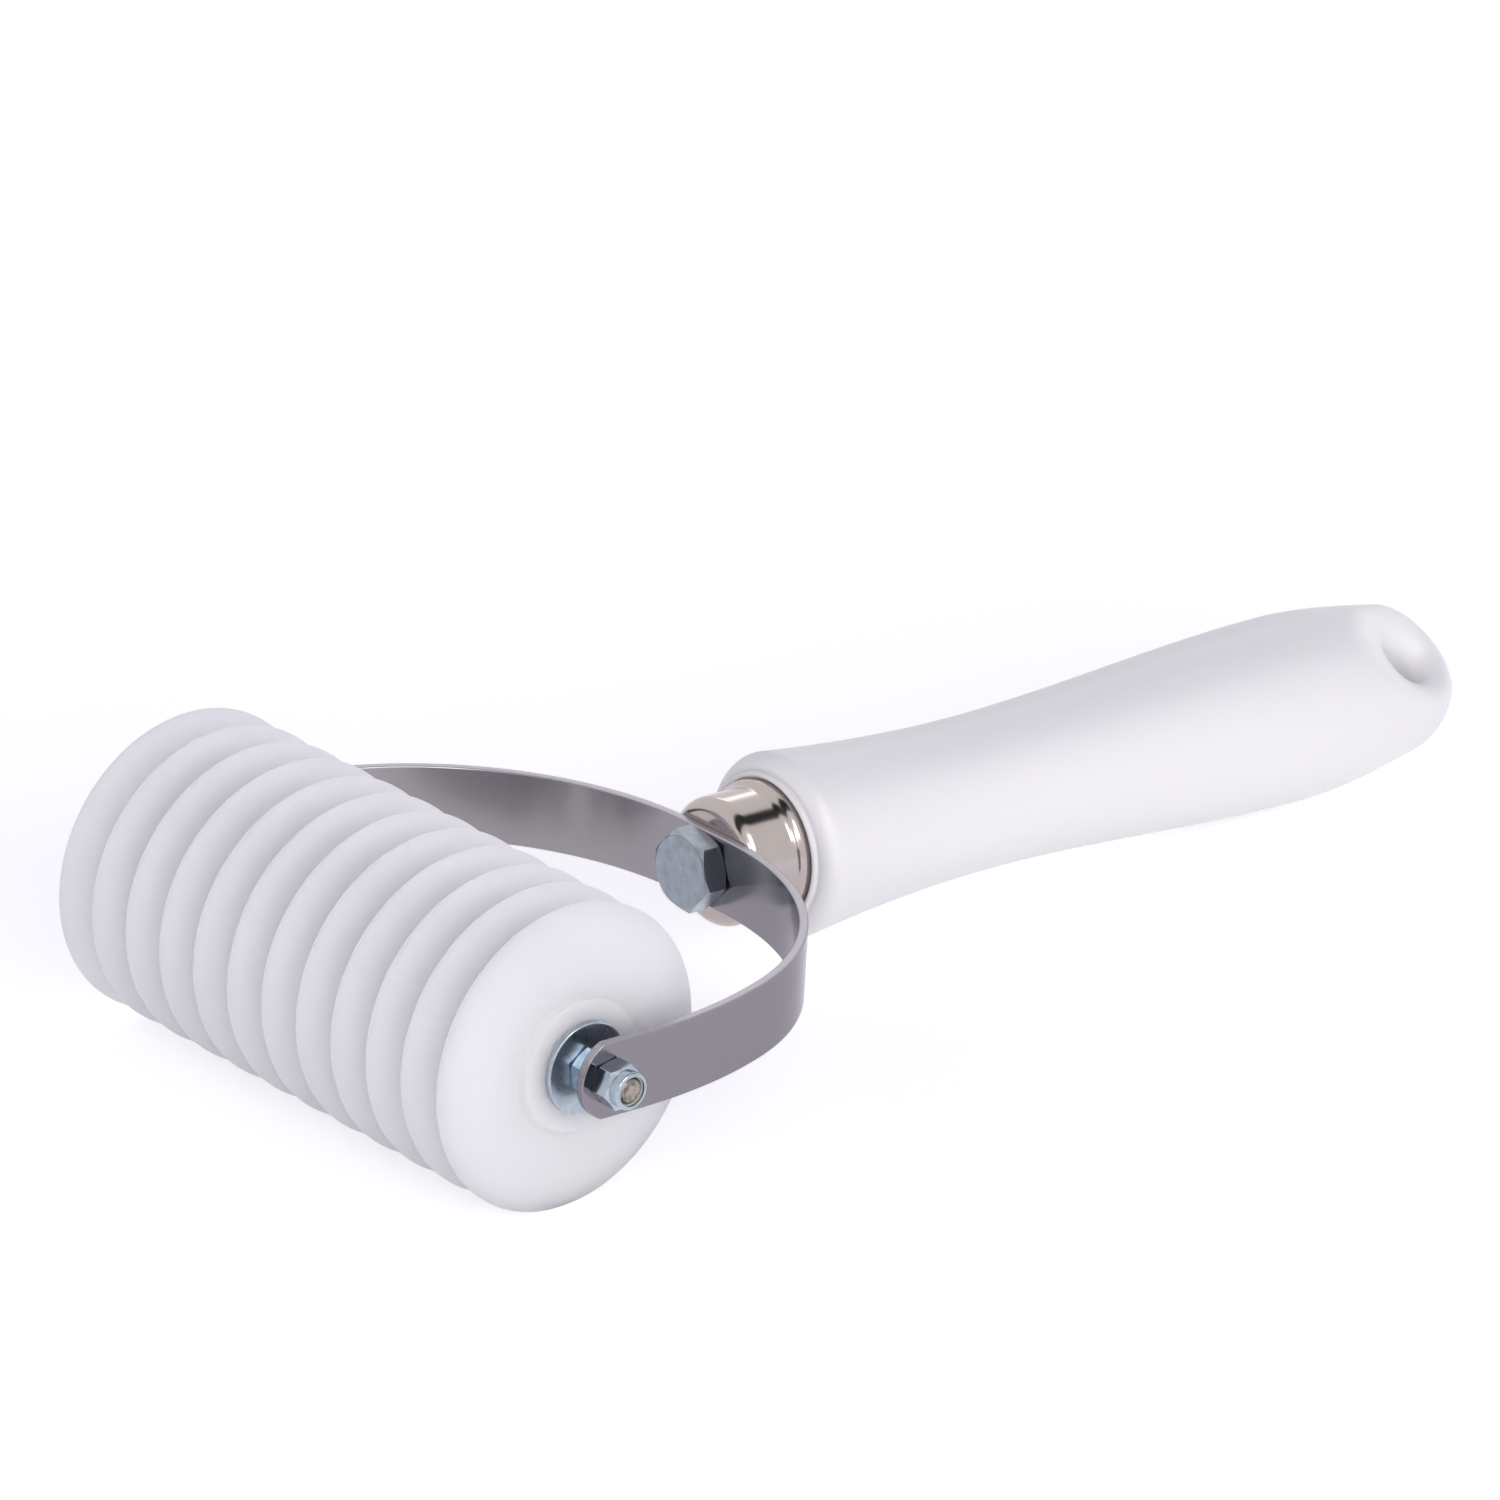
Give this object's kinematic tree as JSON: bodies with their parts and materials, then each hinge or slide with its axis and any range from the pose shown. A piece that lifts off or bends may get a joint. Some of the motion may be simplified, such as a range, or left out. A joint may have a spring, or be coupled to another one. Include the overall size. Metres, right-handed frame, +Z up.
{
  "type": "multi-wheel pasta cutter",
  "caption": "Roller pasta cutter with a row of lens-shaped wheels on a threaded axle, held in a bent strap fork that is bolted to a round handle.",
  "frame": {"origin": "centre of the bounding box at the table, as the tool rests on its wheels and handle", "axes": "+Y from the wheels towards the handle's butt, +X along the axle, +Z up"},
  "size_m": [0.1506, 0.302, 0.06],
  "materials": {
    "wheel_plastic": "satin",
    "handle_plastic": "satin",
    "stainless_strip": "satin",
    "nickel_plate": "polished",
    "zinc_steel": "zinc plated",
    "nylon": "satin",
    "brass_bush": "turned"
  },
  "bodies": {
    "frame": {"axle_rod": "zinc_steel", "washer_left": "zinc_steel", "washer_right": "zinc_steel", "inner_nut_left": "zinc_steel", "inner_nut_right": "zinc_steel", "lock_nut_left": "zinc_steel", "lock_nut_right": "zinc_steel", "lock_ring_left": "nylon", "lock_ring_right": "nylon", "fork_strap": "stainless_strip", "fork_bolt": "zinc_steel", "ferrule": "nickel_plate", "handle": "handle_plastic", "handle_bush": "brass_bush"},
    "wheel_01": {"wheel_01": "wheel_plastic"},
    "wheel_02": {"wheel_02": "wheel_plastic"},
    "wheel_03": {"wheel_03": "wheel_plastic"},
    "wheel_04": {"wheel_04": "wheel_plastic"},
    "wheel_05": {"wheel_05": "wheel_plastic"},
    "wheel_06": {"wheel_06": "wheel_plastic"},
    "wheel_07": {"wheel_07": "wheel_plastic"},
    "wheel_08": {"wheel_08": "wheel_plastic"},
    "wheel_09": {"wheel_09": "wheel_plastic"},
    "wheel_10": {"wheel_10": "wheel_plastic"},
    "wheel_11": {"wheel_11": "wheel_plastic"},
    "wheel_12": {"wheel_12": "wheel_plastic"}
  },
  "joints": [
    {"name": "wheel_01_spin", "type": "hinge", "parent": "frame", "child": "wheel_01", "pos_m": [-0.0561, -0.12105, 0.03], "axis": [1, 0, 0], "continuous": true},
    {"name": "wheel_02_spin", "type": "hinge", "parent": "frame", "child": "wheel_02", "pos_m": [-0.0459, -0.12105, 0.03], "axis": [1, 0, 0], "continuous": true},
    {"name": "wheel_03_spin", "type": "hinge", "parent": "frame", "child": "wheel_03", "pos_m": [-0.0357, -0.12105, 0.03], "axis": [1, 0, 0], "continuous": true},
    {"name": "wheel_04_spin", "type": "hinge", "parent": "frame", "child": "wheel_04", "pos_m": [-0.0255, -0.12105, 0.03], "axis": [1, 0, 0], "continuous": true},
    {"name": "wheel_05_spin", "type": "hinge", "parent": "frame", "child": "wheel_05", "pos_m": [-0.0153, -0.12105, 0.03], "axis": [1, 0, 0], "continuous": true},
    {"name": "wheel_06_spin", "type": "hinge", "parent": "frame", "child": "wheel_06", "pos_m": [-0.0051, -0.12105, 0.03], "axis": [1, 0, 0], "continuous": true},
    {"name": "wheel_07_spin", "type": "hinge", "parent": "frame", "child": "wheel_07", "pos_m": [0.0051, -0.12105, 0.03], "axis": [1, 0, 0], "continuous": true},
    {"name": "wheel_08_spin", "type": "hinge", "parent": "frame", "child": "wheel_08", "pos_m": [0.0153, -0.12105, 0.03], "axis": [1, 0, 0], "continuous": true},
    {"name": "wheel_09_spin", "type": "hinge", "parent": "frame", "child": "wheel_09", "pos_m": [0.0255, -0.12105, 0.03], "axis": [1, 0, 0], "continuous": true},
    {"name": "wheel_10_spin", "type": "hinge", "parent": "frame", "child": "wheel_10", "pos_m": [0.0357, -0.12105, 0.03], "axis": [1, 0, 0], "continuous": true},
    {"name": "wheel_11_spin", "type": "hinge", "parent": "frame", "child": "wheel_11", "pos_m": [0.0459, -0.12105, 0.03], "axis": [1, 0, 0], "continuous": true},
    {"name": "wheel_12_spin", "type": "hinge", "parent": "frame", "child": "wheel_12", "pos_m": [0.0561, -0.12105, 0.03], "axis": [1, 0, 0], "continuous": true}
  ]
}
